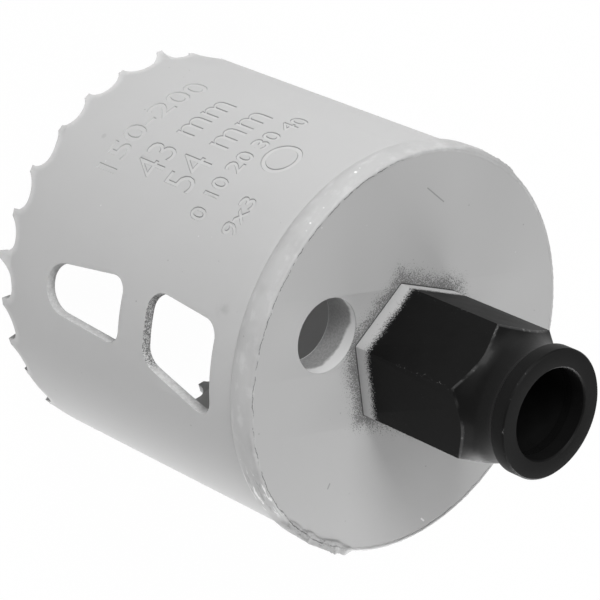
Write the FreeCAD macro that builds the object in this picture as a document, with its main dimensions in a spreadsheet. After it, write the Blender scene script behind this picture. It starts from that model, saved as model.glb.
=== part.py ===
import FreeCAD, Part
import math
import os

import Sketcher
from FreeCAD import Rotation, Vector

# Hole saw: a toothed cup with stepped windows, a thick end cap and a hexagonal drive boss.
# The saw stands on its teeth. The origin is on the axis, level with the tooth tips, and +Z
# points along the axis to the boss. Lengths are in millimetres and angles in degrees.

SIZES = {
    # Cup wall
    "cup_radius": 26.25,
    "cup_wall": 1.3,
    "cup_length": 46.8,
    # Teeth: nine groups of three, each group with three different pitches. The gullet depth is
    # that of the longest pitch, and the other gullets are shallower in proportion. The set
    # runs out just short of the bottom of the shallowest gullet.
    "tooth_groups": 9,
    "first_tooth_angle": -82.65,
    "first_pitch": 14.4,
    "second_pitch": 13.3,
    "gullet_depth": 2.15,
    "gullet_bottom_share": 0.72,
    "tooth_face_depth": 0.5,
    "tooth_land": 0.95,
    "tooth_land_rise": 0.12,
    "set_outward": 0.75,
    "set_inward": 0.45,
    "set_height_share": 0.93,
    "cutter_overrun": 0.5,
    # Lower window, the one beside the teeth
    "low_window_start": 9.3,
    "low_window_end": 23.7,
    "low_window_near_left": -2.6,
    "low_window_near_right": 3.7,
    "low_window_far_left": -4.65,
    "low_window_far_right": 4.55,
    "low_window_round": 3.3,
    "low_window_corner": 1.7,
    # Upper window, the one beside the end cap
    "high_window_start": 28.5,
    "high_window_end": 41.15,
    "high_window_near_left": -5.0,
    "high_window_near_right": 4.8,
    "high_window_far_left": -4.0,
    "high_window_far_right": 9.0,
    "high_window_corner": 1.9,
    # End cap
    "cap_thickness": 5.0,
    "cap_step": 2.0,
    "cap_fit_gap": 0.02,
    "cap_edge": 0.25,
    "drive_hole_radius": 4.85,
    "drive_hole_circle": 15.3,
    "drive_hole_angle": -14.3,
    "drive_hole_edge": 0.3,
    # Weld bead round the joint of cup and cap
    "weld_height": 3.6,
    "weld_below_joint": 1.8,
    "weld_bulge": 0.62,
    # Drive boss
    "spigot_radius": 8.0,
    "spigot_fit_gap": 0.02,
    "hex_width": 17.0,
    "hex_angle": -10.8,
    "neck_radius": 7.2,
    "neck_sweep": 5.0,
    "neck_straight": 1.2,
    "flange_radius": 8.3,
    "flange_thickness": 2.2,
    "flange_edge": 0.2,
    "boss_length": 24.3,
    "bore_radius": 5.85,
    "bore_edge": 0.3,
}

os.makedirs("parts", exist_ok=True)
doc = FreeCAD.newDocument("hole_saw")
sheet = doc.addObject("Spreadsheet::Sheet", "sizes")
for row, (alias, value) in enumerate(SIZES.items(), start=1):
    sheet.set(f"A{row}", alias)
    sheet.set(f"B{row}", str(value))
    sheet.setAlias(f"B{row}", alias)
doc.recompute()


def named(text):
    """Turn plain size names into references to the sheet."""
    words = []
    word = ""
    for letter in text + " ":
        if letter.isalnum() or letter == "_":
            word += letter
            continue
        words.append(f"sizes.{word}" if word in SIZES else word)
        words.append(letter)
        word = ""
    return "".join(words).strip()


# Lengths that several pieces share, written once as sheet expressions.
CUP_INSIDE = "(cup_radius - cup_wall)"
CAP_TOP = "(cup_length + cap_step)"
CAP_BOTTOM = f"({CAP_TOP} - cap_thickness)"
BOSS_TOP = f"({CAP_TOP} + boss_length)"
FLANGE_BOTTOM = f"({BOSS_TOP} - flange_thickness)"
SWEEP_TOP = f"({FLANGE_BOTTOM} - neck_straight)"
HEX_CORNER = "(hex_width / sqrt(3))"
THIRD_PITCH = "(360 / tooth_groups - first_pitch - second_pitch)"
SET_ROOT = f"(set_height_share * gullet_depth * {THIRD_PITCH} / first_pitch)"


def size(text):
    """Work out a size expression as a plain number."""
    value = sheet.evalExpression(named(text))
    return float(getattr(value, "Value", value))


def new_body(name):
    body = doc.addObject("PartDesign::Body", name)
    body.Label = name
    return body


def new_sketch(body, name, plane, turn=None, lift=None):
    """Put a sketch on one of the body's own base planes, turned about Z or lifted along Z."""
    sketch = body.newObject("Sketcher::SketchObject", name)
    base = next(item for item in body.Origin.OriginFeatures if item.Role == plane)
    sketch.AttachmentSupport = [(base, "")]
    sketch.MapMode = "FlatFace"
    if turn is not None:
        spin_axis = Vector(0, 0, 1) if plane == "XY_Plane" else Vector(0, 1, 0)
        sketch.AttachmentOffset = FreeCAD.Placement(Vector(), Rotation(spin_axis, size(turn)))
        sketch.setExpression("AttachmentOffset.Rotation.Angle", named(turn))
    if lift is not None:
        sketch.setExpression("AttachmentOffset.Base.z", named(lift))
    return sketch


def bind(sketch, label, kind, geometry, text):
    """Add a named dimension and tie it to the sheet."""
    sketch.addConstraint(Sketcher.Constraint(kind, *geometry, size(text)))
    index = sketch.ConstraintCount - 1
    sketch.renameConstraint(index, label)
    sketch.setExpression(f"Constraints.{label}", named(text))


def place_point(sketch, label, geometry, point, across, up):
    bind(sketch, f"{label}_across", "DistanceX", (-1, 1, geometry, point), across)
    bind(sketch, f"{label}_up", "DistanceY", (-1, 1, geometry, point), up)


def outline(sketch, corners, arcs=None):
    """Draw a closed outline through corners; arcs maps a side's number to (radius, bend)."""
    arcs = arcs or {}
    first = sketch.GeometryCount
    spots = [Vector(size(across), size(up), 0) for across, up in corners]
    ends = []
    for side, start in enumerate(spots):
        end = spots[(side + 1) % len(spots)]
        if side not in arcs:
            sketch.addGeometry(Part.LineSegment(start, end), False)
            ends.append((1, 2))
            continue
        radius = size(arcs[side][0])
        chord = end - start
        rise = radius - math.sqrt(radius ** 2 - (chord.Length / 2) ** 2)
        normal = Vector(-chord.y, chord.x, 0).normalize() * arcs[side][1]
        middle = (start + end) / 2 + normal * rise
        # Every arc is drawn anticlockwise, so its first end may be either corner.
        if arcs[side][1] < 0:
            sketch.addGeometry(Part.Arc(start, middle, end), False)
            ends.append((1, 2))
        else:
            sketch.addGeometry(Part.Arc(end, middle, start), False)
            ends.append((2, 1))
    for side in range(len(spots)):
        after = (side + 1) % len(spots)
        joined = (first + side, ends[side][1], first + after, ends[after][0])
        sketch.addConstraint(Sketcher.Constraint("Coincident", *joined))
    for side, (across, up) in enumerate(corners):
        label = f"{sketch.Name}_{first}_{side}"
        place_point(sketch, label, first + side, ends[side][0], across, up)
        if side in arcs:
            bind(sketch, f"{label}_bend", "Radius", (first + side,), arcs[side][0])


def rounded_outline(sketch, corners):
    """Draw a closed anticlockwise outline through (across, up, radius) corners, each rounded."""
    spots = [Vector(size(across), size(up), 0) for across, up, bend in corners]
    radii = [size(bend) for across, up, bend in corners]
    tangents = []
    for index, spot in enumerate(spots):
        back = (spots[index - 1] - spot).normalize()
        ahead = (spots[(index + 1) % len(spots)] - spot).normalize()
        half_angle = back.getAngle(ahead) / 2
        reach = radii[index] / math.tan(half_angle)
        inward = (back + ahead).normalize()
        middle = spot + inward * (radii[index] / math.sin(half_angle) - radii[index])
        tangents.append((spot + back * reach, middle, spot + ahead * reach))
    marks = [sketch.addGeometry(Part.Point(spot), True) for spot in spots]
    bends = [sketch.addGeometry(Part.Arc(*points), False) for points in tangents]
    sides = []
    for index in range(len(spots)):
        after = (index + 1) % len(spots)
        line = Part.LineSegment(tangents[index][2], tangents[after][0])
        sides.append(sketch.addGeometry(line, False))
    for index, (across, up, bend) in enumerate(corners):
        label = f"{sketch.Name}_{index}"
        place_point(sketch, label, marks[index], 1, across, up)
        before = sides[index - 1]
        joined = (before, 2, bends[index], 1)
        sketch.addConstraint(Sketcher.Constraint("Tangent", *joined))
        joined = (bends[index], 2, sides[index], 1)
        sketch.addConstraint(Sketcher.Constraint("Tangent", *joined))
        for side in (before, sides[index]):
            sketch.addConstraint(Sketcher.Constraint("PointOnObject", marks[index], 1, side))
        bind(sketch, f"{label}_bend", "Radius", (bends[index],), bend)


def circle(sketch, radius, across="0", up="0"):
    spot = Vector(size(across), size(up), 0)
    index = sketch.addGeometry(Part.Circle(spot, Vector(0, 0, 1), size(radius)), False)
    label = f"{sketch.Name}_{index}"
    bind(sketch, f"{label}_radius", "Radius", (index,), radius)
    place_point(sketch, label, index, 3, across, up)


def spin(body, name, sketch, kind="PartDesign::Revolution", angle=None):
    """Turn a profile about the body's Z axis, all the way round or through an angle."""
    feature = body.newObject(kind, name)
    feature.Profile = sketch
    axis = next(item for item in body.Origin.OriginFeatures if item.Role == "Z_Axis")
    feature.ReferenceAxis = (axis, [""])
    feature.Angle = 360
    if angle is not None:
        feature.setExpression("Angle", named(angle))
    return feature


def repeat(body, name, originals, count, angle):
    """Copy features round the Z axis."""
    pattern = body.newObject("PartDesign::PolarPattern", name)
    pattern.Originals = originals
    axis = next(item for item in body.Origin.OriginFeatures if item.Role == "Z_Axis")
    pattern.Axis = (axis, [""])
    pattern.Angle = size(angle)
    pattern.Occurrences = round(size(count))
    pattern.setExpression("Angle", named(angle))
    pattern.setExpression("Occurrences", named(count))
    body.Tip = pattern
    return pattern


def cut_volume(body, before, name):
    """Check that the newest cut took material away, and return what is left."""
    doc.recompute()
    after = body.Shape.Volume
    if not after < before - 1e-3:
        raise RuntimeError(f"{name} cuts nothing")
    return after


# Cup wall. The foot flares to both sides, so that each tooth can keep the side it is set to.
cup = new_body("saw_cup")
wall = new_sketch(cup, "wall_profile", "XZ_Plane")
outline(wall, [
    ("cup_radius + set_outward", "0"),
    ("cup_radius", SET_ROOT),
    ("cup_radius", "cup_length"),
    (CUP_INSIDE, "cup_length"),
    (CUP_INSIDE, SET_ROOT),
    (f"{CUP_INSIDE} - set_inward", "0"),
])
spin(cup, "wall", wall)
doc.recompute()
left = cup.Shape.Volume

# Windows, a stepped pair in front and the same pair half a turn round.
window_outlines = {
    "low_window": [
        ("low_window_near_left", "low_window_start", "low_window_round"),
        ("low_window_near_right", "low_window_start", "low_window_round"),
        ("low_window_far_right", "low_window_end", "low_window_corner"),
        ("low_window_far_left", "low_window_end", "low_window_corner"),
    ],
    "high_window": [
        ("high_window_near_left", "high_window_start", "high_window_corner"),
        ("high_window_near_right", "high_window_start", "high_window_corner"),
        ("high_window_far_right", "high_window_end", "high_window_corner"),
        ("high_window_far_left", "high_window_end", "high_window_corner"),
    ],
}
windows = []
for name, corners in window_outlines.items():
    window = new_sketch(cup, f"{name}_profile", "YZ_Plane")
    rounded_outline(window, corners)
    pocket = cup.newObject("PartDesign::Pocket", name)
    pocket.Profile = window
    pocket.Type = "ThroughAll"
    pocket.Reversed = True
    left = cut_volume(cup, left, name)
    windows.append(pocket)
repeat(cup, "windows", windows, "2", "360")
left = cut_volume(cup, left, "windows")

# Set of the teeth. In each group the first tooth is set out or in by turns, and the other
# two are straight. The cuts meet over the lowest point of a gullet, where the flare is nil.
RUN_OUT = "(gullet_depth / 2)"
SLOPE_REACH = f"(1 + {RUN_OUT} / {SET_ROOT})"
CLEAR = "(set_outward + set_inward + cutter_overrun)"
BEFORE_TOOTH = f"((1 - gullet_bottom_share) * {THIRD_PITCH})"
INNER_SLOPE = [
    (CUP_INSIDE, SET_ROOT),
    (f"{CUP_INSIDE} + set_outward * {SLOPE_REACH}", f"-{RUN_OUT}"),
    (f"{CUP_INSIDE} - {CLEAR}", f"-{RUN_OUT}"),
    (f"{CUP_INSIDE} - {CLEAR}", SET_ROOT),
]
OUTER_SLOPE = [
    ("cup_radius", SET_ROOT),
    (f"cup_radius - set_inward * {SLOPE_REACH}", f"-{RUN_OUT}"),
    (f"cup_radius + {CLEAR}", f"-{RUN_OUT}"),
    (f"cup_radius + {CLEAR}", SET_ROOT),
]
INNER_STRAIGHT = [
    (CUP_INSIDE, SET_ROOT),
    (CUP_INSIDE, f"-{RUN_OUT}"),
    (f"{CUP_INSIDE} - {CLEAR}", f"-{RUN_OUT}"),
    (f"{CUP_INSIDE} - {CLEAR}", SET_ROOT),
]
OUTER_STRAIGHT = [
    ("cup_radius", SET_ROOT),
    ("cup_radius", f"-{RUN_OUT}"),
    (f"cup_radius + {CLEAR}", f"-{RUN_OUT}"),
    (f"cup_radius + {CLEAR}", SET_ROOT),
]
GROUP_TURN = "(360 / tooth_groups)"
SET_TEETH = f"({BEFORE_TOOTH} + gullet_bottom_share * first_pitch)"
STRAIGHT_TEETH = f"({GROUP_TURN} - {SET_TEETH})"
FIRST_START = f"(first_tooth_angle - {BEFORE_TOOTH})"
set_cuts = [
    ("set_out", INNER_SLOPE, FIRST_START, SET_TEETH, "floor((tooth_groups + 1) / 2)"),
    ("set_in", OUTER_SLOPE, f"({FIRST_START} + {GROUP_TURN})", SET_TEETH, "floor(tooth_groups / 2)"),
    ("straight_inside", INNER_STRAIGHT, f"({FIRST_START} + {SET_TEETH})", STRAIGHT_TEETH, "tooth_groups"),
    ("straight_outside", OUTER_STRAIGHT, f"({FIRST_START} + {SET_TEETH})", STRAIGHT_TEETH, "tooth_groups"),
]
for name, corners, start, width, count in set_cuts:
    step = GROUP_TURN if count == "tooth_groups" else f"(2 * {GROUP_TURN})"
    profile = new_sketch(cup, f"{name}_profile", "XZ_Plane", turn=start)
    outline(profile, corners)
    groove = spin(cup, name, profile, "PartDesign::Groove", angle=width)
    doc.recompute()
    left = cut_volume(cup, left, name)
    if count == "tooth_groups":
        repeat(cup, f"{name}_teeth", [groove], count, "360")
    else:
        repeat(cup, f"{name}_teeth", [groove], count, f"({count} - 1) * {step}")
    left = cut_volume(cup, left, f"{name}_teeth")

# Gullets. Behind its short land each tooth falls along a hollow back to the lowest point, then
# a smaller round rises to the upright cutting face of the next tooth. Both rounds run level
# where they meet.
pitch_starts = [
    ("first", "first_tooth_angle", "first_pitch"),
    ("second", "first_tooth_angle + first_pitch", "second_pitch"),
    ("third", "first_tooth_angle + first_pitch + second_pitch", THIRD_PITCH),
]
PAST_WALL = "cup_radius + set_outward + cutter_overrun"
gullets = []
for name, start, pitch in pitch_starts:
    gullet = new_sketch(cup, f"{name}_gullet_profile", "YZ_Plane", turn=f"{start} + {pitch} / 2")
    half = f"(cup_radius * sin({pitch} / 2))"
    low = f"((2 * gullet_bottom_share - 1) * {half})"
    depth = f"(gullet_depth * {pitch} / first_pitch)"
    back_run, back_fall = f"({half} + {low} - tooth_land)", f"({depth} - tooth_land_rise)"
    face_run, face_rise = f"({half} - {low})", f"({depth} - tooth_face_depth)"
    outline(
        gullet,
        [
            (f"-{half}", f"-{RUN_OUT}"),
            (f"-{half}", "0"),
            (f"-{half} + tooth_land", "tooth_land_rise"),
            (low, depth),
            (half, "tooth_face_depth"),
            (half, f"-{RUN_OUT}"),
        ],
        {
            2: (f"({back_run} ^ 2 + {back_fall} ^ 2) / (2 * {back_fall})", 1),
            3: (f"({face_run} ^ 2 + {face_rise} ^ 2) / (2 * {face_rise})", 1),
        },
    )
    pocket = cup.newObject("PartDesign::Pocket", f"{name}_gullet")
    pocket.Profile = gullet
    pocket.Length = size(PAST_WALL)
    pocket.setExpression("Length", named(PAST_WALL))
    pocket.Reversed = True
    left = cut_volume(cup, left, f"{name}_gullet")
    gullets.append(pocket)
repeat(cup, "gullets", gullets, "tooth_groups", "360")
left = cut_volume(cup, left, "gullets")

# End cap. Its spigot fits inside the cup wall and its shoulder sits on the wall's end.
cap = new_body("end_cap")
disc = new_sketch(cap, "disc_profile", "XZ_Plane")
SPIGOT_HOLE = "(spigot_radius + spigot_fit_gap)"
CAP_SPIGOT = f"({CUP_INSIDE} - cap_fit_gap)"
outline(disc, [
    (SPIGOT_HOLE, CAP_BOTTOM),
    (CAP_SPIGOT, CAP_BOTTOM),
    (CAP_SPIGOT, "cup_length"),
    ("cup_radius", "cup_length"),
    ("cup_radius", f"{CAP_TOP} - cap_edge"),
    ("cup_radius - cap_edge", CAP_TOP),
    (SPIGOT_HOLE, CAP_TOP),
])
spin(cap, "disc", disc)
doc.recompute()
left = cap.Shape.Volume
hole_sketch = new_sketch(cap, "drive_hole_profile", "XY_Plane", turn="drive_hole_angle", lift=CAP_TOP)
circle(hole_sketch, "drive_hole_radius", across="drive_hole_circle")
drive_hole = cap.newObject("PartDesign::Pocket", "drive_hole")
drive_hole.Profile = hole_sketch
drive_hole.Type = "ThroughAll"
left = cut_volume(cap, left, "drive_hole")
repeat(cap, "drive_holes", [drive_hole], "2", "360")
left = cut_volume(cap, left, "drive_holes")
mouths = []
for index, edge in enumerate(cap.Shape.Edges, start=1):
    curve = edge.Curve
    if isinstance(curve, Part.Circle) and abs(curve.Radius - size("drive_hole_radius")) < 1e-6:
        if abs(curve.Center.z - size(CAP_TOP)) < 1e-6:
            mouths.append(f"Edge{index}")
base = cap.Tip
mouth_edge = cap.newObject("PartDesign::Chamfer", "drive_hole_mouths")
mouth_edge.Base = (base, mouths)
mouth_edge.Size = size("drive_hole_edge")
mouth_edge.setExpression("Size", named("drive_hole_edge"))
cap.Tip = mouth_edge

# Weld bead, a low bulging band over the joint of cup wall and cap.
weld = new_body("rim_weld")
bead = new_sketch(weld, "bead_profile", "XZ_Plane")
WELD_START = "(cup_length - weld_below_joint)"
outline(
    bead,
    [
        ("cup_radius", WELD_START),
        ("cup_radius", f"{WELD_START} + weld_height"),
    ],
    {0: ("(weld_height ^ 2 / 4 + weld_bulge ^ 2) / (2 * weld_bulge)", -1)},
)
spin(weld, "bead", bead)

# Drive boss: a spigot pressed into the cap, a hexagon, a hollow turned neck and a flange.
boss = new_body("drive_boss")
turned = new_sketch(boss, "turned_profile", "XZ_Plane")
outline(turned, [
    ("bore_radius", CAP_BOTTOM),
    ("spigot_radius", CAP_BOTTOM),
    ("spigot_radius", CAP_TOP),
    ("neck_radius", CAP_TOP),
    ("neck_radius", FLANGE_BOTTOM),
    ("flange_radius - flange_edge", FLANGE_BOTTOM),
    ("flange_radius", f"{FLANGE_BOTTOM} + flange_edge"),
    ("flange_radius", f"{BOSS_TOP} - flange_edge"),
    ("flange_radius - flange_edge", BOSS_TOP),
    ("bore_radius + bore_edge", BOSS_TOP),
    ("bore_radius", f"{BOSS_TOP} - bore_edge"),
])
spin(boss, "turned_core", turned)
hexagon = new_sketch(boss, "hexagon_profile", "XY_Plane", turn="hex_angle", lift=CAP_TOP)
outline(hexagon, [
    (f"{HEX_CORNER} * cos({60 * corner})", f"{HEX_CORNER} * sin({60 * corner})")
    for corner in range(6)
])
circle(hexagon, "(neck_radius + bore_radius) / 2")
hexagon_pad = boss.newObject("PartDesign::Pad", "hexagon")
hexagon_pad.Profile = hexagon
hexagon_pad.Length = size(f"{SWEEP_TOP} - {CAP_TOP}")
hexagon_pad.setExpression("Length", named(f"{SWEEP_TOP} - {CAP_TOP}"))
doc.recompute()
left = boss.Shape.Volume
sweep = new_sketch(boss, "neck_profile", "XZ_Plane")
OUT_OF_HEX = f"({HEX_CORNER} + cutter_overrun)"
SWEEP_REACH = f"({OUT_OF_HEX} - neck_radius)"
outline(
    sweep,
    [
        ("neck_radius", SWEEP_TOP),
        (OUT_OF_HEX, f"{SWEEP_TOP} - sqrt(neck_sweep ^ 2 - (neck_sweep - {SWEEP_REACH}) ^ 2)"),
        (OUT_OF_HEX, SWEEP_TOP),
    ],
    {0: ("neck_sweep", -1)},
)
neck = spin(boss, "neck", sweep, "PartDesign::Groove")
left = cut_volume(boss, left, "neck")

doc.recompute()
for item in doc.Objects:
    if "Invalid" in item.State or "Error" in item.State:
        raise RuntimeError(f"{item.Name} failed: {item.State}")
for body in (cup, cap, weld, boss):
    shape = body.Shape
    if shape.isNull() or not shape.isValid() or len(shape.Solids) != 1:
        raise RuntimeError(f"{body.Label} isn't one valid solid")
    shape.exportStep(f"parts/{body.Label}.step")
    box = shape.BoundBox
    print(f"{body.Label}: {shape.Volume:.1f} mm3, z {box.ZMin:.2f} to {box.ZMax:.2f}")
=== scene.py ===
import math

import bmesh
import bpy
from mathutils import Matrix, Vector, kdtree, noise


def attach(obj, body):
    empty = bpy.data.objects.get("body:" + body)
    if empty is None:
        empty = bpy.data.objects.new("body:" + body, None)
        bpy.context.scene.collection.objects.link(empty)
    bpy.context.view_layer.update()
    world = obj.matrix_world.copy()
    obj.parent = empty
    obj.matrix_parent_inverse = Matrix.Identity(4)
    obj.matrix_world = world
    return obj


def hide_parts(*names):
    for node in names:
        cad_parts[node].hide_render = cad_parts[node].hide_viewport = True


# Hole saw on a pale floor. It stands on its teeth, +Z runs up the axis to the drive boss.
# Lengths are in metres and angles in degrees unless a comment says otherwise.

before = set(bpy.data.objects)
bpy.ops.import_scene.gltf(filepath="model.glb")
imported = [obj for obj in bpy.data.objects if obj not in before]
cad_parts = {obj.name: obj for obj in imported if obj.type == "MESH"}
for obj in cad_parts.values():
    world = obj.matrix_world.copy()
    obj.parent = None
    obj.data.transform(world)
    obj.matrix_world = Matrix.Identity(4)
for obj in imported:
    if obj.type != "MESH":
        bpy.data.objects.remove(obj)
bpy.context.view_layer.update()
MM = 0.001

# Cup wall and its teeth. ARC is the length of one degree round the wall.
CUP_RADIUS = 26.25 * MM
CUP_WALL = 1.3 * MM
CUP_LENGTH = 46.8 * MM
ROUND = math.tau * CUP_RADIUS
ARC = CUP_RADIUS * math.tau / 360
TOOTH_GROUPS = 9
FIRST_TOOTH = -82.65
PITCHES = (14.4, 13.3, 12.3)
GULLET_DEPTH = 2.15 * MM
GULLET_SHARE = 0.72
FACE_DEPTH = 0.5 * MM
LAND = 0.95 * MM
LAND_RISE = 0.12 * MM
SET_OUT = 0.75 * MM
SET_IN = 0.45 * MM
SET_HEIGHT = 0.93 * GULLET_DEPTH * PITCHES[2] / PITCHES[0]
EDGE_SOFTNESS = 0.07 * MM

# Windows on the unrolled wall, in millimetres. Each corner is its place along the wall from the
# middle of the pair, its height and its round. The same pair is cut half a turn round.
LOW_WINDOW = ((-2.6, 9.3, 3.3), (3.72, 9.3, 3.3), (4.6, 23.7, 2.1), (-4.68, 23.7, 1.9))
HIGH_WINDOW = ((-5.0, 28.5, 2.7), (4.85, 28.5, 2.5), (9.1, 41.15, 2.2), (-4.05, 41.15, 2.3))

# Marks rolled into the wall: figures, first angle, foot height in millimetres, last angle, figure
# height in millimetres and how far their outlines are offset, below zero for thinner strokes.
# They read towards smaller angles and their tops point at the teeth.
FIGURES = (
    ("150-200", -35.0, 14.1, -75.0, 3.4, 0.0),
    ("43 mm", -37.8, 21.1, -70.9, 4.7, -0.013),
    ("54 mm", -37.8, 27.4, -72.0, 4.9, -0.013),
    ("0 10 20 30 40", -32.0, 32.0, -76.8, 2.5, 0.0),
    ("9x3", -31.5, 38.0, -43.4, 2.4, 0.0),
)
# Plain ring: angle, then height, outer and inner radius in millimetres
RING_MARK = (-58.5, 35.6, 2.6, 2.1)
MARK_DEPTH = 0.13 * MM
MARK_SLOPE = 0.115 * MM

# End cap. Its edge lies just inside the cup's outline, under the weld.
CAP_TOP = 48.8 * MM
CAP_BOTTOM = 43.8 * MM
CAP_EDGE = 0.25 * MM
CAP_INSET = 0.05 * MM
CAP_FIT_GAP = 0.02 * MM
DRIVE_HOLE = 4.85 * MM
DRIVE_CIRCLE = 15.3 * MM
DRIVE_ANGLE = -14.3

# Weld bead. Its lip on the cap is given as points, how far in from the cup's outline and how far
# above the cap in millimetres.
WELD_START = 45.0 * MM
WELD_TOP = 48.6 * MM
WELD_BULGE = 0.55 * MM
WELD_LIP = ((0.02, -0.02), (0.20, 0.03), (0.36, 0.02), (0.42, -0.12), (0.6, -0.6))
LIP_HEIGHT = CAP_TOP + WELD_LIP[0][1] * MM - 0.001 * MM
HIGHEST_FLASH = CAP_TOP + 0.3 * MM

# Flash on the weld bead: first angle, last angle and how softly it ends
CRUST = (51.6, 74.9, 4.0)
WAVES = (-122.5, -99.5, 3.0)
CURL = (75.2, 78.6, 2.4)

# Drive boss. It is turned from a blank that is wider than its hexagon.
SPIGOT = 8.0 * MM
BOSS_BLANK = 12.0 * MM
HEX_WIDTH = 17.0 * MM
HEX_ANGLE = -10.8
HEX_SOFTNESS = 0.14 * MM
NECK = 7.2 * MM
NECK_SWEEP = 5.0 * MM
SWEEP_TOP = 69.7 * MM
NECK_CORNER = 0.3 * MM
FLANGE = 8.3 * MM
FLANGE_BOTTOM = 70.9 * MM
FLANGE_EDGE = 0.2 * MM
BOSS_TOP = 73.1 * MM
BORE = 5.85 * MM

# Marks of wear, and the middle of the crust's painted shade. On the wall and the weld they are angle and
# height in millimetres, on the cap they are lines between two points of radius in millimetres and angle, with
# their width.
WALL_SPOT = (-44.0, 8.3)
WALL_SMUDGE = (-13.0, 41.5)
CAP_SCRATCHES = (
    ((21.4, -86.9), (19.5, -96.2), 0.12 * MM),
    ((19.8, 56.8), (19.2, 56.4), 0.16 * MM),
)
CAP_NICK = ((24.9, 107.9), (24.4, 107.0), 0.16 * MM)
CRUST_SPOT = (64.0, 48.4)
LEAF_SPOT = (63.0, 48.8)
MOLTEN_SPOT = (38.0, 47.8)
# Bright bare specks: angle, height and size, the last two in millimetres
BRIGHT_SPECKS = (
    (-48.4, 47.9, 0.24), (-45.6, 48.0, 0.18), (-42.9, 47.9, 0.22), (-40.6, 48.1, 0.24), (-37.6, 48.0, 0.16),
    (-62.3, 47.2, 0.26), (-64.1, 47.1, 0.2),
)

# Fineness of the meshes: how close points are merged, where walls are sliced so that they can
# bend, with heights in millimetres, and how many steps go round each curve
SAME_POINT = 1e-7
SAME_ROLLED_POINT = 2e-6
SAME_FONT_POINT = 1e-4
TOOTH_BACK_STEPS = 9
TOOTH_FACE_STEPS = 8
WALL_SLICES = 240
WALL_SLICE_HEIGHTS = (0.5, 1.0, SET_HEIGHT / MM, 2.2, 2.6, 3.0, 3.5, 4.2, 5.0, 6.0, 8.0, 15.0, 26.0, 36.0)
RING_STEPS = 56
CAP_STEPS = 256
SPIGOT_STEPS = 96
DRIVE_HOLE_STEPS = 72
WELD_ROWS = 14
WELD_STEPS = 840
SWEEP_STEPS = 20
BOSS_STEPS = 144

# Shades of the paint, and the depth and strength of its ripple
CUP_SHADE = 0.50
CAP_SHADE = 0.46
WELD_SHADE = 0.49
RIPPLE_DEPTH = 0.02 * MM
RIPPLE_STRENGTH = 0.45

# Camera: the photograph's viewpoint, worked out from the end face, the teeth and the boss.
CAMERA_SPOT = Vector((269.58, -110.56, 295.89)) * MM
CAMERA_RIGHT = Vector((-0.72493634, -0.13598715, 0.67525906))
CAMERA_UP = Vector((-0.09591094, -0.9508412, -0.2944522))
CAMERA_AHEAD = Vector((-0.68210585, 0.27822383, -0.67625669))
CAMERA_LENS = 183.99

# Lamps: name, direction from the saw, distance, width and power in watts. The key shines from
# the upper left. All of them face one point inside the cup.
LAMPS = (
    ("key_lamp", Vector((0.40, -0.91, 0.80)), 0.7, 0.30, 3.5),
    ("front_lamp", Vector((0.68, -0.28, 0.68)), 0.8, 0.60, 0.6),
    ("back_lamp", Vector((-0.40, -1.00, 0.25)), 0.7, 0.40, 0.7),
    ("rim_lamp", Vector((-0.57, 1.00, 0.22)), 0.7, 0.40, 6.0),
    ("low_lamp", Vector((0.50, 1.00, 0.40)), 0.7, 0.40, 1.0),
)
LAMP_AIM = Vector((0.0, 0.0, 35 * MM))
AMBIENT = 0.23
FLOOR_REACH = 3.0
FLOOR_GLOW_SHARE = 0.985


# Shader helpers

class Value:
    """A shader number that can be written into ordinary sums."""

    def __init__(self, paint, socket):
        self.paint = paint
        self.socket = socket

    def _math(self, operation, *others):
        return self.paint.number("ShaderNodeMath", {"operation": operation}, (self, *others))

    def __add__(self, other):
        return self._math("ADD", other)

    def __radd__(self, other):
        return self._math("ADD", other)

    def __sub__(self, other):
        return self._math("SUBTRACT", other)

    def __rsub__(self, other):
        return self.paint.number("ShaderNodeMath", {"operation": "SUBTRACT"}, (other, self))

    def __mul__(self, other):
        return self._math("MULTIPLY", other)

    def __rmul__(self, other):
        return self._math("MULTIPLY", other)

    def __truediv__(self, other):
        return self._math("DIVIDE", other)

    def __pow__(self, other):
        return self._math("POWER", other)

    def least(self, other):
        return self._math("MINIMUM", other)

    def most(self, other):
        return self._math("MAXIMUM", other)

    def size(self):
        return self._math("ABSOLUTE")

    def wave(self):
        return self._math("SINE")

    def fade(self, low, high):
        """0 at low and 1 at high, smooth between, whichever way round they are."""
        node = self.paint.node("ShaderNodeMapRange", {"interpolation_type": "SMOOTHSTEP", "clamp": True}, {
            "Value": self, "From Min": low, "From Max": high, "To Min": 0.0, "To Max": 1.0,
        })
        return Value(self.paint, node.outputs["Result"])


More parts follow.
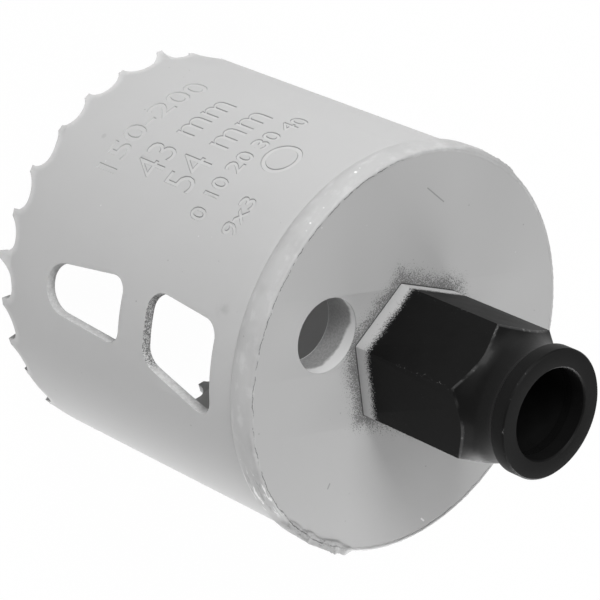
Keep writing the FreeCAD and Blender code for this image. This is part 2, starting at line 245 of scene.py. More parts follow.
class Paint:
    """A material with one Principled shader, built node by node."""

    def __init__(self, name):
        self.material = bpy.data.materials.new(name)
        self.material.use_nodes = True
        self.tree = self.material.node_tree
        self.shader = self.tree.nodes["Principled BSDF"]
        self.place = self.node("ShaderNodeTexCoord", {}, {}).outputs["Object"]
        axes = self.node("ShaderNodeSeparateXYZ", {}, [self.place])
        self.x, self.y, self.z = [Value(self, output) for output in axes.outputs]

    def feed(self, target, value):
        """Link a shader value to a socket, or set the socket to a plain number or colour."""
        if isinstance(value, Value):
            value = value.socket
        if isinstance(value, bpy.types.NodeSocket):
            self.tree.links.new(value, target)
        else:
            target.default_value = value

    def node(self, kind, settings, sockets):
        node = self.tree.nodes.new(kind)
        for key, value in settings.items():
            setattr(node, key, value)
        pairs = sockets.items() if isinstance(sockets, dict) else enumerate(sockets)
        for key, value in pairs:
            self.feed(node.inputs[key], value)
        return node

    def number(self, kind, settings, sockets, output=0):
        return Value(self, self.node(kind, settings, sockets).outputs[output])

    def reach(self):
        """Distance from the saw's axis."""
        return (self.x * self.x + self.y * self.y) ** 0.5

    def cloud(self, scale, detail=2.0, roughness=0.5, place=None):
        """Soft noise from about 0.2 to 0.8; scale is in cycles a metre."""
        sockets = {"Vector": place or self.place, "Scale": scale, "Detail": detail, "Roughness": roughness}
        return self.number("ShaderNodeTexNoise", {}, sockets)

    def cells(self, scale, place=None):
        """Distance to the nearest of many scattered points, for round specks."""
        sockets = {"Vector": place or self.place, "Scale": scale}
        return self.number("ShaderNodeTexVoronoi", {"feature": "F1"}, sockets, "Distance")

    def near(self, spot, inner, outer):
        """1 within inner of a spot and 0 beyond outer."""
        away = self.node("ShaderNodeVectorMath", {"operation": "DISTANCE"}, [self.place, spot])
        return Value(self, away.outputs["Value"]).fade(outer, inner)

    def scratch(self, start, end, width):
        """1 along a straight line in the XY plane, 0 a width away from it."""
        run, rise = end[0] - start[0], end[1] - start[1]
        along = ((self.x - start[0]) * run + (self.y - start[1]) * rise) / (run ** 2 + rise ** 2)
        along = along.most(0.0).least(1.0)
        off_x = self.x - start[0] - along * run
        off_y = self.y - start[1] - along * rise
        away = (off_x ** 2 + off_y ** 2) ** 0.5
        return away.fade(width, 0.4 * width)

    def stretched(self, factors):
        """Object coordinates with each axis scaled, for noise that runs along one of them."""
        return self.node("ShaderNodeMapping", {}, {"Vector": self.place, "Scale": factors}).outputs["Vector"]

    def rolled(self, along, up):
        """Coordinates that run round the saw and up it, scaled, for noise that follows its rim."""
        turn = self.number("ShaderNodeMath", {"operation": "ARCTAN2"}, (self.y, self.x))
        sockets = [turn * (CUP_RADIUS * along), self.z * up]
        return self.node("ShaderNodeCombineXYZ", {}, sockets).outputs["Vector"]

    def own(self, name):
        """A number that the piece carries at its points."""
        return self.number("ShaderNodeAttribute", {"attribute_name": name}, {}, "Fac")

    def blend(self, share, first, second):
        """Colour that goes from first to second as share goes from 0 to 1."""
        settings = {"data_type": "RGBA", "blend_type": "MIX"}
        # Sockets 6 and 7 are the colours of a mix node, and output 2 is its colour.
        return self.node("ShaderNodeMix", settings, {0: share, 6: first, 7: second}).outputs[2]

    def put(self, socket, value):
        self.feed(self.shader.inputs[socket], value)

    def relief(self, height, distance, strength):
        """Feed a height, in units of distance, to the surface's normal."""
        node = self.node("ShaderNodeBump", {}, {"Height": height, "Distance": distance, "Strength": strength})
        self.put("Normal", node.outputs["Normal"])


def grey(value):
    return (value, value, value, 1.0)


def strongest(values):
    """The greatest of several shader numbers."""
    most, *others = values
    for value in others:
        most = most.most(value)
    return most


# Mesh helpers

def finish_piece(bm, name, replaces, materials, smooth_angle=35.0):
    """Turn a bmesh into a piece of the saw, shaded smooth except at its real edges."""
    mesh = bpy.data.meshes.new(name)
    for edge in bm.edges:
        edge.smooth = len(edge.link_faces) != 2 or edge.calc_face_angle(0.0) < math.radians(smooth_angle)
    for face in bm.faces:
        face.smooth = True
    bm.to_mesh(mesh)
    bm.free()
    piece = bpy.data.objects.new(name, mesh)
    bpy.context.scene.collection.objects.link(piece)
    for material in materials:
        mesh.materials.append(material)
    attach(piece, "root")
    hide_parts(*replaces)


def spun(profile, steps):
    """Turn a profile of (radius, height) points round the Z axis."""
    bm = bmesh.new()
    points = [bm.verts.new((radius, 0.0, height)) for radius, height in profile]
    edges = [bm.edges.new(pair) for pair in zip(points, points[1:] + points[:1])]
    bmesh.ops.spin(
        bm, geom=points + edges, cent=(0, 0, 0), axis=(0, 0, 1), dvec=(0, 0, 0),
        angle=math.tau, steps=steps, use_merge=True, use_duplicate=False,
    )
    bmesh.ops.remove_doubles(bm, verts=bm.verts, dist=SAME_POINT)
    bmesh.ops.recalc_face_normals(bm, faces=bm.faces)
    return bm


def mesh_of(curve, same):
    """A bmesh of a flat filled curve, which is used up. Points closer than same are merged."""
    holder = bpy.data.objects.new(curve.name, curve)
    mesh = bpy.data.meshes.new_from_object(holder)
    bm = bmesh.new()
    bm.from_mesh(mesh)
    bpy.data.objects.remove(holder)
    bpy.data.curves.remove(curve)
    bpy.data.meshes.remove(mesh)
    bmesh.ops.remove_doubles(bm, verts=bm.verts, dist=same)
    return bm


def face_up(bm):
    """Turn every face of a flat mesh upwards."""
    for face in bm.faces:
        if face.normal.z < 0:
            face.normal_flip()


def flat_plate(outline, holes):
    """Fill a flat outline in the XY plane, leaving its holes open, and return it as a bmesh."""
    curve = bpy.data.curves.new("flat_outline", "CURVE")
    curve.dimensions = "2D"
    curve.fill_mode = "BOTH"
    for points in [outline, *holes]:
        spline = curve.splines.new("POLY")
        spline.points.add(len(points) - 1)
        for point, (x, y) in zip(spline.points, points):
            point.co = (x, y, 0.0, 1.0)
        spline.use_cyclic_u = True
    bm = mesh_of(curve, SAME_POINT)
    face_up(bm)
    return bm


def thicken(bm, depth):
    """Give a flat plate thickness, downwards, with its top where it was."""
    rim = bmesh.ops.extrude_face_region(bm, geom=bm.faces[:])
    lower = [item for item in rim["geom"] if isinstance(item, bmesh.types.BMVert)]
    bmesh.ops.translate(bm, vec=(0, 0, -depth), verts=lower)
    bmesh.ops.recalc_face_normals(bm, faces=bm.faces)


def soften(bm, width, sharper_than=50.0, segments=2):
    """Round off every edge that is sharper than an angle."""
    limit = math.radians(sharper_than)
    sharp = [edge for edge in bm.edges if len(edge.link_faces) == 2 and edge.calc_face_angle(0.0) > limit]
    bmesh.ops.bevel(
        bm, geom=sharp, offset=width, offset_type="OFFSET", segments=segments, profile=0.5,
        affect="EDGES", clamp_overlap=True, material=-1,
    )


def joined(parts):
    """One bmesh made of several, which are used up."""
    whole = bmesh.new()
    for part in parts:
        mesh = bpy.data.meshes.new("joined")
        part.to_mesh(mesh)
        part.free()
        whole.from_mesh(mesh)
        bpy.data.meshes.remove(mesh)
    return whole


def rim_loops(bm):
    """The ordered outlines of an open flat mesh."""
    after = {}
    for edge in bm.edges:
        if edge.is_boundary:
            loop = edge.link_loops[0]
            after[loop.vert] = loop.link_loop_next.vert
    outlines = []
    while after:
        vert = next(iter(after))
        outline = []
        while vert in after:
            outline.append((vert.co.x, vert.co.y))
            vert = after.pop(vert)
        outlines.append(outline)
    return outlines


def press_in(bm, depth, slope):
    """Lower a flat figure and give it a sloping side that reaches outwards to the surface."""
    sides = {}
    rim = [edge for edge in bm.edges if edge.is_boundary]
    for edge in rim:
        loop = edge.link_loops[0]
        along = (loop.link_loop_next.vert.co - loop.vert.co).normalized()
        for vert in edge.verts:
            sides.setdefault(vert, []).append(Vector((along.y, -along.x, 0.0)))
    floor = bm.verts[:]
    grown = bmesh.ops.extrude_edge_only(bm, edges=rim)["geom"]
    for vert in [item for item in grown if isinstance(item, bmesh.types.BMVert)]:
        foot = next(edge.other_vert(vert) for edge in vert.link_edges if edge.other_vert(vert) in sides)
        first, second = sides[foot]
        reach = (first + second) / max(0.5, 1.0 + first.dot(second))
        vert.co = foot.co + reach * slope
    bmesh.ops.translate(bm, vec=(0.0, 0.0, -depth), verts=floor)


def lettering(text, start, foot, end, height, offset):
    """Flat figures on the unrolled wall, between two angles and with a stated height."""
    curve = bpy.data.curves.new("figures", "FONT")
    curve.body = text
    curve.resolution_u = 3
    curve.offset = offset
    bm = mesh_of(curve, SAME_FONT_POINT)
    low = [min(vert.co[axis] for vert in bm.verts) for axis in (0, 1)]
    high = [max(vert.co[axis] for vert in bm.verts) for axis in (0, 1)]
    across = (start - end) * ARC / (high[0] - low[0])
    up = height * MM / (high[1] - low[1])
    for vert in bm.verts:
        vert.co = (start * ARC - (vert.co.x - low[0]) * across, foot * MM - (vert.co.y - low[1]) * up, 0.0)
    bmesh.ops.remove_doubles(bm, verts=bm.verts, dist=SAME_ROLLED_POINT)
    face_up(bm)
    return bm


def slice_along(bm, axis, places):
    """Cut a mesh with planes across an axis, so that it can bend there."""
    normal = [0.0, 0.0, 0.0]
    normal[axis] = 1.0
    for place in places:
        spot = [0.0, 0.0, 0.0]
        spot[axis] = place
        geom = bm.verts[:] + bm.edges[:] + bm.faces[:]
        bmesh.ops.bisect_plane(bm, geom=geom, dist=SAME_POINT, plane_co=spot, plane_no=normal)


def arc_points(start, end, radius, count):
    """Points of an arc from start to end, without its start, bulging to the left of its way."""
    start, end = Vector(start), Vector(end)
    chord = end - start
    rise = math.sqrt(radius ** 2 - (chord.length / 2) ** 2)
    centre = (start + end) / 2 - Vector((-chord.y, chord.x)).normalized() * rise
    first = start - centre
    total = first.angle(end - centre)
    points = []
    for index in range(1, count + 1):
        points.append(tuple(centre + Matrix.Rotation(-total * index / count, 2) @ first))
    return points


def rounded(corners, count=8):
    """Round the corners of an anticlockwise outline given as (x, y, radius)."""
    points = []
    for index, (x, y, radius) in enumerate(corners):
        spot = Vector((x, y))
        back = (Vector(corners[index - 1][:2]) - spot).normalized()
        ahead = (Vector(corners[(index + 1) % len(corners)][:2]) - spot).normalized()
        half = back.angle(ahead) / 2
        centre = spot + (back + ahead).normalized() * radius / math.sin(half)
        start = spot + back * radius / math.tan(half) - centre
        sweep = math.pi - 2 * half
        for step in range(count + 1):
            points.append(tuple(centre + Matrix.Rotation(sweep * step / count, 2) @ start))
    return points


def polar(radius, turn):
    """The point at a radius and a turn in radians."""
    return radius * math.cos(turn), radius * math.sin(turn)


def circle_points(radius, count, centre=(0.0, 0.0)):
    ring = [polar(radius, math.tau * k / count) for k in range(count)]
    return [(centre[0] + x, centre[1] + y) for x, y in ring]


# Cup wall: a flat strip with its teeth, windows and marks, then rolled into a tube

def tooth_tips():
    """Angle of each tooth tip round the cup and the pitch to the next one, in degrees."""
    tips = []
    angle = FIRST_TOOTH
    for _group in range(TOOTH_GROUPS):
        for pitch in PITCHES:
            tips.append((angle, pitch))
            angle += pitch
    return tips


def level_radius(run, fall):
    """Radius of an arc that is level at the bottom of a gullet."""
    return (run ** 2 + fall ** 2) / (2 * fall)


def strip_foot():
    """The toothed edge of the strip, from the first tooth tip round to itself."""
    points = []
    for angle, pitch in tooth_tips():
        start = angle * ARC
        width = pitch * ARC
        depth = GULLET_DEPTH * pitch / PITCHES[0]
        land = (start + LAND, LAND_RISE)
        low = (start + GULLET_SHARE * width, depth)
        face = (start + width, FACE_DEPTH)
        back_radius = level_radius(low[0] - land[0], depth - LAND_RISE)
        face_radius = level_radius(face[0] - low[0], depth - FACE_DEPTH)
        points.append((start, 0.0))
        points.append(land)
        points += arc_points(land, low, back_radius, TOOTH_BACK_STEPS)
        points += arc_points(low, face, face_radius, TOOTH_FACE_STEPS)
    return points


def set_at(angle):
    """How far a tooth at an angle is set outwards. The first tooth of each group takes its turn."""
    group_turn = 360.0 / TOOTH_GROUPS
    before = (1 - GULLET_SHARE) * PITCHES[2]
    turn = (angle - FIRST_TOOTH + before) % 360.0
    group = int(turn // group_turn)
    inside = turn - group * group_turn
    if inside > before + GULLET_SHARE * PITCHES[0]:
        return 0.0
    return SET_OUT if group % 2 == 0 else -SET_IN


def build_marks():
    """The rolled-in figures and ring, flat and lowered, on the unrolled wall."""
    marks = [lettering(*row) for row in FIGURES]
    angle, height, outer, inner = RING_MARK
    centre = (angle * ARC, height * MM)
    outside, inside = [circle_points(radius * MM, RING_STEPS, centre) for radius in (outer, inner)]
    marks.append(flat_plate(outside, [inside]))
    marks = joined(marks)
    press_in(marks, MARK_DEPTH, MARK_SLOPE)
    return marks


def edge_distance(bm, foot):
    """Store at each point near the teeth how far it is from the toothed edge."""
    far = 10 * MM
    steps = 8
    tree = kdtree.KDTree(steps * len(foot))
    for index, (x, y) in enumerate(foot):
        after = foot[(index + 1) % len(foot)]
        for step in range(steps):
            # The last point has no stretch after it, as the strip starts again far behind it.
            share = step / steps if after[0] > x - far else 0.0
            spot = (x + (after[0] - x) * share, y + (after[1] - y) * share, 0.0)
            tree.insert(spot, steps * index + step)
    tree.balance()
    layer = bm.verts.layers.float.new("edge_distance")
    for vert in bm.verts:
        vert[layer] = far
        if vert.co.y < 7 * MM:
            vert[layer] = tree.find((vert.co.x, vert.co.y, 0.0))[2]


def pressed_share(bm):
    """Store at each point of the outer side how deep it is pressed, as a share of the marks' depth."""
    layer = bm.verts.layers.float.new("pressed_share")
    for vert in bm.verts:
        depth = -vert.co.z / MARK_DEPTH
        # Deeper than the marks are only the points of the inner side.
        vert[layer] = depth if depth < 1.01 else 0.0


def flat_wall(foot):
    """The unrolled wall with its teeth, windows and marks. Its cut edges have the second material."""
    start = foot[0][0]
    outline = foot + [(start + ROUND, 0.0), (start + ROUND, CUP_LENGTH), (start, CUP_LENGTH)]
    windows = []
    for side in (0.0, 180.0):
        for window in (LOW_WINDOW, HIGH_WINDOW):
            corners = [(x * MM + side * ARC, y * MM, radius * MM) for x, y, radius in window]
            windows.append(rounded(corners))
    marks = build_marks()
    skin = flat_plate(outline, windows + rim_loops(marks))
    wall = flat_plate(outline, windows)
    thicken(wall, CUP_WALL)
    face_side = [face for face in wall.faces if face.normal.z > 0.5]
    bmesh.ops.delete(wall, geom=face_side, context="FACES")
    bm = joined([wall, skin, marks])
    bmesh.ops.remove_doubles(bm, verts=bm.verts, dist=SAME_POINT)
    for face in bm.faces:
        if abs(face.normal.z) < 0.5 and face.calc_center_median().y < CUP_LENGTH - 1 * MM:
            face.material_index = 1
    return bm


def roll_up(bm, start):
    """Roll the flat wall into a tube, set its teeth and close its seam."""
    ends = [
        face for face in bm.faces
        if any(all(abs(v.co.x - end) < 0.001 * MM for v in face.verts) for end in (start, start + ROUND))
    ]
    bmesh.ops.delete(bm, geom=ends, context="FACES")
    for vert in bm.verts:
        along, up, depth = vert.co
        angle = along / CUP_RADIUS
        radius = CUP_RADIUS + depth
        if up < SET_HEIGHT:
            radius += set_at(math.degrees(angle)) * (1 - up / SET_HEIGHT)
        vert.co = (*polar(radius, angle), up)
    bmesh.ops.remove_doubles(bm, verts=bm.verts, dist=SAME_ROLLED_POINT)
    bmesh.ops.recalc_face_normals(bm, faces=bm.faces)


def build_cup(paint, cut_edge):
    foot = strip_foot()
    start = foot[0][0]
    bm = flat_wall(foot)
    slice_along(bm, 0, [start + ROUND * k / WALL_SLICES for k in range(1, WALL_SLICES)])
    slice_along(bm, 1, [height * MM for height in WALL_SLICE_HEIGHTS])
    edge_distance(bm, foot)
    pressed_share(bm)
    roll_up(bm, start)
    soften(bm, EDGE_SOFTNESS)
    finish_piece(bm, "cup_wall", ("saw_cup",), (paint, cut_edge))


# End cap: a disc with its two drive pin holes and the seat of the boss

def build_cap(paint):
    outline = circle_points(CUP_RADIUS - CAP_INSET, CAP_STEPS)
    holes = [circle_points(SPIGOT, SPIGOT_STEPS)]
    for angle in (DRIVE_ANGLE, DRIVE_ANGLE + 180):
        holes.append(circle_points(DRIVE_HOLE, DRIVE_HOLE_STEPS, polar(DRIVE_CIRCLE, math.radians(angle))))
    bm = flat_plate(outline, holes)
    thicken(bm, CAP_TOP - CAP_BOTTOM)
    bmesh.ops.translate(bm, vec=(0, 0, CAP_TOP), verts=bm.verts)
    inside = CUP_RADIUS - CUP_WALL - CAP_FIT_GAP
    for vert in bm.verts:
        reach = math.hypot(vert.co.x, vert.co.y)
        if vert.co.z < CAP_TOP - 0.01 * MM and reach > inside:
            vert.co.x *= inside / reach
            vert.co.y *= inside / reach
    soften(bm, CAP_EDGE, segments=3)
    finish_piece(bm, "end_plate", ("end_cap",), (paint,))


# Weld bead: a bulging band with a ragged lip on the cap

def bump(angle, start, end, soft):
    """1 between two angles and 0 outside them, with soft ends, in degrees."""
    middle = (start + end) / 2
    away = abs((angle - middle + 180.0) % 360.0 - 180.0) - abs(end - start) / 2
    return max(0.0, min(1.0, 0.5 - away / soft))


def weld_profile():
    """Section of the bead as (radius, height) points, from the wall up and over onto the cap."""
    profile = [(CUP_RADIUS - 0.12 * MM, WELD_START)]
    for row in range(WELD_ROWS + 1):
        share = row / WELD_ROWS
        swell = math.sin(math.pi * min(0.93, share)) ** 0.8
        profile.append((CUP_RADIUS + WELD_BULGE * swell, WELD_START + (WELD_TOP - WELD_START) * share))
    for inwards, up in WELD_LIP:
        profile.append((CUP_RADIUS - inwards * MM, CAP_TOP + up * MM))
    return profile


def weld_shift(spot):
    """How far a point of the bead moves outwards and upwards, in millimetres."""
    x, y, z = spot
    angle = math.degrees(math.atan2(y, x))
    crust, wavy, curl = [bump(angle, *place) for place in (CRUST, WAVES, CURL)]
    leaf = noise.noise(spot * 620)
    grit = noise.noise(spot * 1500) * 0.5 + noise.noise(spot * 3400) * 0.5
    if z > LIP_HEIGHT:
        ragged = noise.noise(spot * 1100) * 0.10 + noise.noise(spot * 2900) * 0.09
        move = ragged - crust * (0.36 + 0.30 * leaf) - 0.10 * wavy
        if z < CAP_TOP - 0.05 * MM:
            return move, 0.0
        return move, max(-0.02, grit * 0.03) + crust * (0.07 + 0.05 * leaf + 0.05 * grit) + curl * 0.1
    share = (z - WELD_START) / (WELD_TOP - WELD_START)
    middle = math.sin(math.pi * max(0.0, min(1.0, share)))
    top = max(0.0, min(1.0, (share - 0.6) / 0.4))
    swell = noise.noise(spot * 130) * 0.14 + noise.noise(spot * 420) * 0.07
    streak = noise.noise(Vector((x * 500, y * 500, z * 1400))) * 0.035
    move = swell * middle + streak * middle + grit * (0.02 + 0.04 * top)
    move += (
        crust * top * (0.34 + 0.30 * leaf + 0.16 * grit)
        + wavy * top * (0.22 + 0.14 * grit)
        + curl * top * 0.5
    )
    lift = (
        crust * top * (0.20 + 0.10 * leaf + 0.05 * grit)
        + wavy * top * (0.08 + 0.06 * grit)
        + curl * top * 0.16
    )
    return move, lift


def build_weld(paint):
    bm = spun(weld_profile(), WELD_STEPS)
    for vert in bm.verts:
        x, y, z = vert.co
        reach = math.hypot(x, y)
        if reach < CUP_RADIUS - 0.5 * MM or (reach < CUP_RADIUS and z < WELD_TOP):
            continue
        move, lift = weld_shift(vert.co.copy())
        vert.co.x += x / reach * move * MM
        vert.co.y += y / reach * move * MM
        vert.co.z = min(z + lift * MM, HIGHEST_FLASH)
    finish_piece(bm, "weld_bead", ("rim_weld",), (paint,), smooth_angle=60.0)


# Drive boss: turned on its own axis, then cut to a hexagon by six flats

def flat_turns(count):
    """Turns of the hexagon's first flats round the axis, in radians."""
    return [math.radians(HEX_ANGLE + 30 + 60 * flat) for flat in range(count)]


def build_boss(paint):
    reach = BOSS_BLANK - NECK
    sweep_start = (BOSS_BLANK, SWEEP_TOP - math.sqrt(NECK_SWEEP ** 2 - (NECK_SWEEP - reach) ** 2))
    sweep = arc_points(sweep_start, (NECK, SWEEP_TOP), NECK_SWEEP, SWEEP_STEPS)
    profile = [
        (BORE, CAP_BOTTOM), (SPIGOT, CAP_BOTTOM), (SPIGOT, CAP_TOP), (BOSS_BLANK, CAP_TOP),
        sweep_start, *sweep,
        (NECK, FLANGE_BOTTOM - NECK_CORNER), (NECK + NECK_CORNER, FLANGE_BOTTOM),
        (FLANGE - FLANGE_EDGE, FLANGE_BOTTOM), (FLANGE, FLANGE_BOTTOM + FLANGE_EDGE),
        (FLANGE, BOSS_TOP - FLANGE_EDGE), (FLANGE - FLANGE_EDGE, BOSS_TOP),
        (BORE + FLANGE_EDGE, BOSS_TOP), (BORE, BOSS_TOP - FLANGE_EDGE),
    ]
    bm = spun(profile, BOSS_STEPS)
    for turn in flat_turns(6):
        normal = Vector((*polar(1.0, turn), 0))
        geom = bm.verts[:] + bm.edges[:] + bm.faces[:]
        cut = bmesh.ops.bisect_plane(
            bm, geom=geom, dist=SAME_POINT, clear_outer=True,
            plane_co=normal * HEX_WIDTH / 2, plane_no=normal,
        )
        rim = [item for item in cut["geom_cut"] if isinstance(item, bmesh.types.BMEdge)]
        bmesh.ops.contextual_create(bm, geom=rim)
    bmesh.ops.recalc_face_normals(bm, faces=bm.faces)
    soften(bm, HEX_SOFTNESS, sharper_than=40.0)
    finish_piece(bm, "boss", ("drive_boss",), (paint,))


# Finishes

def smooth_paint(paint, shade, roughness=0.40):
    """Light satin paint: faint clouds, a few specks, and the fine ripple that spray leaves."""
    mottle = paint.cloud(70.0, 3.0)
    tone = paint.blend(mottle, grey(shade * 0.96), grey(shade * 1.03))
    dark = paint.cells(650.0).fade(0.10, 0.04) * paint.cloud(210.0).fade(0.58, 0.66)
    pale = paint.cells(480.0, paint.stretched((1.0, 1.0, 1.3))).fade(0.07, 0.03)
    pale = pale * paint.cloud(160.0).fade(0.56, 0.64)
    tone = paint.blend(dark * 0.45, tone, grey(0.12))
    tone = paint.blend(pale * 0.5, tone, grey(0.85))
    paint.put("Roughness", mottle * 0.12 + roughness)
    paint.put("Specular IOR Level", 0.4)
    return tone


def spray_ripple(paint):
    return paint.cloud(1500.0, 2.0) * 0.5 + paint.cloud(420.0, 2.0)


def on_wall(angle, height, proud=0.0):
    """A spot on the outside of the cup wall, or proud of it. The height is in millimetres."""
    return (*polar(CUP_RADIUS + proud, math.radians(angle)), height * MM)


def on_cap(radius, angle):
    """A spot on the face of the cap. The radius is in millimetres."""
    return (*polar(radius * MM, math.radians(angle)), CAP_TOP)


def cap_line(paint, start, end, width):
    """1 along a line between two spots on the cap."""
    return paint.scratch(on_cap(*start), on_cap(*end), width)


def cup_finish():
    paint = Paint("cup_paint")
    tone = smooth_paint(paint, CUP_SHADE)
    # Painted highlight: the paint is lighter within about a millimetre of the toothed edge, with a ragged
    # border.
    teeth_edge_highlight = paint.own("edge_distance") + (paint.cloud(900.0, 3.0) - 0.5) * (0.6 * MM)
    tone = paint.blend(teeth_edge_highlight.fade(1.1 * MM, 0.1 * MM) * 0.30, tone, grey(0.86))
    spot = paint.near(on_wall(*WALL_SPOT), 0.2 * MM, 0.5 * MM)
    smudge = paint.near(on_wall(*WALL_SMUDGE), 0.3 * MM, 1.8 * MM) * paint.cloud(500.0, 3.0).fade(0.36, 0.62)
    tone = paint.blend(spot * 0.22 + smudge * 0.25, tone, grey(0.20))
    pressed = paint.own("pressed_share")
    # The row of figures beside the teeth is fainter than the others.
    clear = 1.0 - paint.z.fade(15.8 * MM, 14.8 * MM) * 0.5
    # Painted shade on the marks' sloping sides and a painted highlight on their floors.
    side = pressed.fade(0.0, 0.3) * pressed.fade(1.0, 0.8)
    tone = paint.blend(side * clear * 0.62, tone, grey(0.15))
    tone = paint.blend(pressed.fade(0.9, 1.0) * clear * 0.22, tone, grey(0.74))
    paint.put("Base Color", tone)
    paint.relief(spray_ripple(paint), RIPPLE_DEPTH, RIPPLE_STRENGTH)
    return paint.material


def cut_edge_finish():
    """The thickness of the wall at the windows and gullets: thin paint over a grainy cut."""
    paint = Paint("cut_edge")
    grain = paint.cloud(1800.0, 3.0, 0.7)
    tone = paint.blend(grain.fade(0.35, 0.7), grey(0.54), grey(0.66))
    # The near wall of the upper window is bare in dots, and the cuts below it are, faintly.
    rough = paint.z.fade(27.5 * MM, 28.0 * MM) * paint.z.fade(30.8 * MM, 29.2 * MM)
    rough = rough + 0.15 * paint.z.fade(12.0 * MM, 10.0 * MM)
    dots = paint.cloud(5600.0, 2.0, 0.6).fade(0.44, 0.54) * rough
    tone = paint.blend(dots * 0.8, tone, grey(0.10))
    paint.put("Base Color", tone)
    paint.put("Roughness", 0.5 + grain * 0.2)
    paint.put("Specular IOR Level", 0.4)
    paint.relief(grain, 0.06 * MM, 0.5)
    return paint.material


def hexagon_distance(paint):
    """How far a point is outside the flats of the hexagon."""
    sides = [(paint.x * math.cos(turn) + paint.y * math.sin(turn)).size() for turn in flat_turns(3)]
    return strongest(sides) - HEX_WIDTH / 2


def cap_finish():
    paint = Paint("cap_paint")
    tone = smooth_paint(paint, CAP_SHADE)
    away = hexagon_distance(paint)
    on_face = paint.z.fade(CAP_TOP - 0.3 * MM, CAP_TOP - 0.1 * MM)
    # Black overspray round the boss, and painted shade in the crevice at its foot
    halo = (away + (paint.cloud(300.0, 2.0) - 0.5) * (1.6 * MM)).fade(4.2 * MM, -0.4 * MM) * on_face
    grain = paint.cloud(6400.0, 2.0, 0.7) - 0.5
    spray = (grain + (halo - 0.60) * 0.36).fade(-0.02, 0.10) * halo.fade(0.0, 0.15)
    tone = paint.blend(spray * 0.70, tone, grey(0.05))
    tone = paint.blend(halo * halo * 0.20, tone, grey(0.10))
    seam = away.fade(0.22 * MM, 0.08 * MM) * on_face
    tone = paint.blend(seam * 0.85, tone, grey(0.02))
    scratches = strongest(cap_line(paint, *row) for row in CAP_SCRATCHES)
    tone = paint.blend(scratches * on_face * 0.55, tone, grey(0.16))
    nick = cap_line(paint, *CAP_NICK) * on_face
    tone = paint.blend(nick * 0.7, tone, grey(0.9))
    # Drive holes: the paint at the mouth, made lighter as a painted highlight, and bare grain from a ragged,
    # leaning line down
    ragged = (paint.cloud(330.0, 3.0, 0.6) - 0.5) * (1.6 * MM)
    hole_middle = DRIVE_CIRCLE * math.sin(math.radians(DRIVE_ANGLE))
    lean = (paint.y - hole_middle).most(-DRIVE_HOLE).least(DRIVE_HOLE) * 0.14
    deep = (paint.z + ragged + lean).fade(CAP_TOP - 1.2 * MM, CAP_TOP - 1.8 * MM)
    deep = deep * paint.z.fade(CAP_BOTTOM + 0.05 * MM, CAP_BOTTOM + 0.1 * MM)
    bare = paint.blend(paint.cloud(3600.0, 3.0, 0.7).fade(0.30, 0.70), grey(0.25), grey(0.33))
    in_hole = paint.reach().fade(21.0 * MM, 20.5 * MM)
    mouth_highlight = paint.z.fade(CAP_TOP - 0.10 * MM, CAP_TOP - 0.35 * MM) * in_hole
    tone = paint.blend(mouth_highlight * 0.7, tone, grey(0.78))
    tone = paint.blend(deep * in_hole, tone, bare)
    paint.put("Base Color", tone)
    paint.relief(spray_ripple(paint) - scratches * 0.6 - nick * 0.5, RIPPLE_DEPTH, RIPPLE_STRENGTH)
    return paint.material


def weld_finish():
    paint = Paint("weld_paint")
    crust = paint.near(on_wall(*CRUST_SPOT), 5.5 * MM, 7.5 * MM)
    tone = smooth_paint(paint, WELD_SHADE, crust * 0.5 + 0.42)
    # Painted shade: the crust is painted darker than the rest of the bead.
    tone = paint.blend(crust * 0.6, tone, grey(0.34))
    streaks = paint.cloud(420.0, 3.0, 0.6, paint.rolled(1.0, 1.6))
    tone = paint.blend(streaks.fade(0.50, 0.72) * 0.26, tone, grey(0.74))
    tone = paint.blend(paint.cloud(210.0, 2.0).fade(0.50, 0.66) * 0.3, tone, grey(0.37))
    # The broken dark line where the lip meets the cap, on the +X side
    wander = (paint.cloud(700.0, 3.0, 0.6) - 0.5) * (0.7 * MM)
    lip_line = (paint.reach() - CUP_RADIUS + 0.22 * MM + wander).size().fade(0.09 * MM, 0.03 * MM)
    lip_line = lip_line * paint.z.fade(CAP_TOP - 0.25 * MM, CAP_TOP - 0.1 * MM)
    lip_line = lip_line * paint.cloud(520.0, 3.0, 0.7).fade(0.40, 0.50) * paint.x.fade(4.0 * MM, 9.0 * MM)
    tone = paint.blend(lip_line * 0.75, tone, grey(0.08))
    # Thin dark lines in the crust
    leaf = (paint.cloud(420.0, 3.0, 0.65) - 0.5).size().fade(0.012, 0.003)
    leaf = leaf * paint.near(on_wall(*LEAF_SPOT), 5.0 * MM, 6.4 * MM)
    tone = paint.blend(leaf * 0.5, tone, grey(0.14))
    # Bright specks and molten streaks
    specks = []
    for angle, height, size in BRIGHT_SPECKS:
        specks.append(paint.near(on_wall(angle, height, 0.5 * MM), 0.4 * size * MM, size * MM))
    molten = paint.cloud(300.0, 3.0, 0.6, paint.rolled(1.0, 4.5))
    around = paint.near(on_wall(*MOLTEN_SPOT), 2.6 * MM, 4.8 * MM)
    tone = paint.blend(molten.fade(0.44, 0.36) * around * 0.5, tone, grey(0.22))
    bright = (strongest(specks) + molten.fade(0.54, 0.62) * around).least(1.0)
    tone = paint.blend(bright * 0.9, tone, grey(0.95))
    paint.put("Base Color", tone)
    paint.relief(streaks + paint.cloud(1900.0, 3.0, 0.6) * 0.3, 0.07 * MM, 0.4)
    return paint.material


